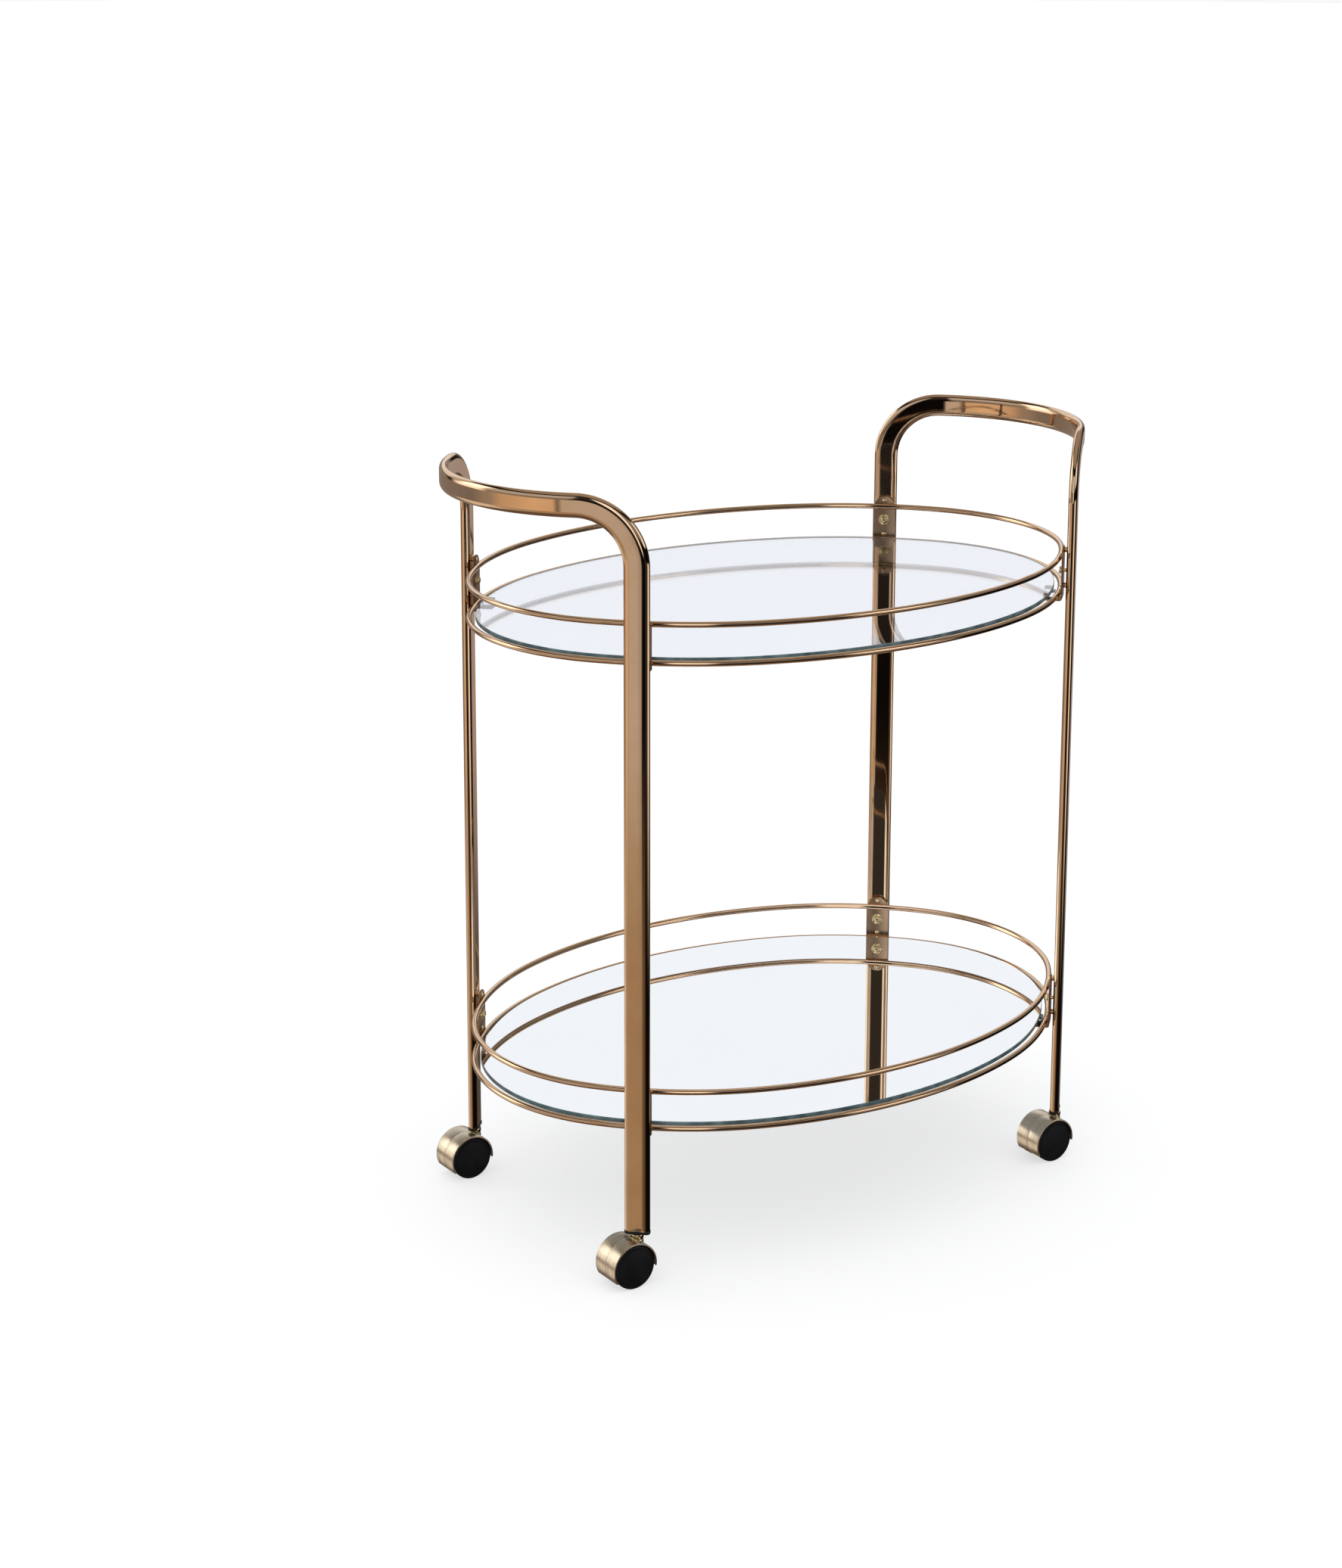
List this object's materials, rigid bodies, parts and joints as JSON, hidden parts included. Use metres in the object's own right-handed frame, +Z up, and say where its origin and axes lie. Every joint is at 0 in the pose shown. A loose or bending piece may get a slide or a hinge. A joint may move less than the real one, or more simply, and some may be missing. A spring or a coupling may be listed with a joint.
{
  "type": "bar cart",
  "caption": "Oval serving cart with a glass top shelf and a mirrored lower shelf inside gallery rails, bowed push handles, and hooded swivel casters.",
  "frame": {"origin": "on the floor under the middle of the cart, the bottom centre of its bounding box", "axes": "+X along the cart from one push handle to the other, +Y across it, +Z up"},
  "size_m": [0.781, 0.52, 0.8415],
  "materials": {
    "champagne_plate": "polished champagne-gold plating on steel",
    "black_plastic": "moulded, satin",
    "bright_brass": "bright plated",
    "clear_glass": "clear tempered sheet with a green polished edge",
    "mirror_sheet": "silvered glass with a polished edge",
    "clear_silicone": "clear soft pad",
    "brushed_hood": "brushed pale brass plating",
    "plain_steel": "ground pin",
    "wheel_plastic": "black nylon"
  },
  "bodies": {
    "cart": {"frame_left": "champagne_plate", "frame_right": "champagne_plate", "plug_front_left": "black_plastic", "plug_back_left": "black_plastic", "plug_back_right": "black_plastic", "plug_front_right": "black_plastic", "shelf_ring_bottom": "champagne_plate", "gallery_rail_bottom": "champagne_plate", "shelf_ring_top": "champagne_plate", "gallery_rail_top": "champagne_plate", "shelf_mirror_bottom": "mirror_sheet", "shelf_glass_top": "clear_glass", "bracket_bottom_front_left": "champagne_plate", "bracket_bottom_back_left": "champagne_plate", "bracket_bottom_back_right": "champagne_plate", "bracket_bottom_front_right": "champagne_plate", "bracket_top_front_left": "champagne_plate", "bracket_top_back_left": "champagne_plate", "bracket_top_back_right": "champagne_plate", "bracket_top_front_right": "champagne_plate", "spacer_studs_bottom": "champagne_plate", "screws_bottom": "bright_brass", "washers_bottom": "bright_brass", "clear_pads_bottom": "clear_silicone", "spacer_studs_top": "champagne_plate", "screws_top": "bright_brass", "washers_top": "bright_brass", "clear_pads_top": "clear_silicone", "stem_front_left": "bright_brass", "stem_back_left": "bright_brass", "stem_back_right": "bright_brass", "stem_front_right": "bright_brass"},
    "caster_front_left": {"hood_front_left": "brushed_hood", "core_front_left": "black_plastic", "axle_front_left": "plain_steel"},
    "wheel_front_left_a": {"wheel_front_left_a": "wheel_plastic"},
    "wheel_front_left_b": {"wheel_front_left_b": "wheel_plastic"},
    "caster_back_left": {"hood_back_left": "brushed_hood", "core_back_left": "black_plastic", "axle_back_left": "plain_steel"},
    "wheel_back_left_a": {"wheel_back_left_a": "wheel_plastic"},
    "wheel_back_left_b": {"wheel_back_left_b": "wheel_plastic"},
    "caster_back_right": {"hood_back_right": "brushed_hood", "core_back_right": "black_plastic", "axle_back_right": "plain_steel"},
    "wheel_back_right_a": {"wheel_back_right_a": "wheel_plastic"},
    "wheel_back_right_b": {"wheel_back_right_b": "wheel_plastic"},
    "caster_front_right": {"hood_front_right": "brushed_hood", "core_front_right": "black_plastic", "axle_front_right": "plain_steel"},
    "wheel_front_right_a": {"wheel_front_right_a": "wheel_plastic"},
    "wheel_front_right_b": {"wheel_front_right_b": "wheel_plastic"}
  },
  "joints": [
    {"name": "swivel_front_left", "type": "hinge", "parent": "cart", "child": "caster_front_left", "pos_m": [-0.2878, -0.16607, 0.035], "axis": [0, 0, 1], "continuous": true},
    {"name": "spin_front_left_a", "type": "hinge", "parent": "caster_front_left", "child": "wheel_front_left_a", "pos_m": [-0.3018, -0.16607, 0.024], "axis": [0, 1, 0], "continuous": true},
    {"name": "spin_front_left_b", "type": "hinge", "parent": "caster_front_left", "child": "wheel_front_left_b", "pos_m": [-0.3018, -0.16607, 0.024], "axis": [0, 1, 0], "continuous": true},
    {"name": "swivel_back_left", "type": "hinge", "parent": "cart", "child": "caster_back_left", "pos_m": [-0.2878, 0.16607, 0.035], "axis": [0, 0, 1], "continuous": true},
    {"name": "spin_back_left_a", "type": "hinge", "parent": "caster_back_left", "child": "wheel_back_left_a", "pos_m": [-0.3018, 0.16607, 0.024], "axis": [0, 1, 0], "continuous": true},
    {"name": "spin_back_left_b", "type": "hinge", "parent": "caster_back_left", "child": "wheel_back_left_b", "pos_m": [-0.3018, 0.16607, 0.024], "axis": [0, 1, 0], "continuous": true},
    {"name": "swivel_back_right", "type": "hinge", "parent": "cart", "child": "caster_back_right", "pos_m": [0.2878, 0.16607, 0.035], "axis": [0, 0, 1], "continuous": true},
    {"name": "spin_back_right_a", "type": "hinge", "parent": "caster_back_right", "child": "wheel_back_right_a", "pos_m": [0.2738, 0.16607, 0.024], "axis": [0, 1, 0], "continuous": true},
    {"name": "spin_back_right_b", "type": "hinge", "parent": "caster_back_right", "child": "wheel_back_right_b", "pos_m": [0.2738, 0.16607, 0.024], "axis": [0, 1, 0], "continuous": true},
    {"name": "swivel_front_right", "type": "hinge", "parent": "cart", "child": "caster_front_right", "pos_m": [0.2878, -0.16607, 0.035], "axis": [0, 0, 1], "continuous": true},
    {"name": "spin_front_right_a", "type": "hinge", "parent": "caster_front_right", "child": "wheel_front_right_a", "pos_m": [0.2738, -0.16607, 0.024], "axis": [0, 1, 0], "continuous": true},
    {"name": "spin_front_right_b", "type": "hinge", "parent": "caster_front_right", "child": "wheel_front_right_b", "pos_m": [0.2738, -0.16607, 0.024], "axis": [0, 1, 0], "continuous": true}
  ]
}
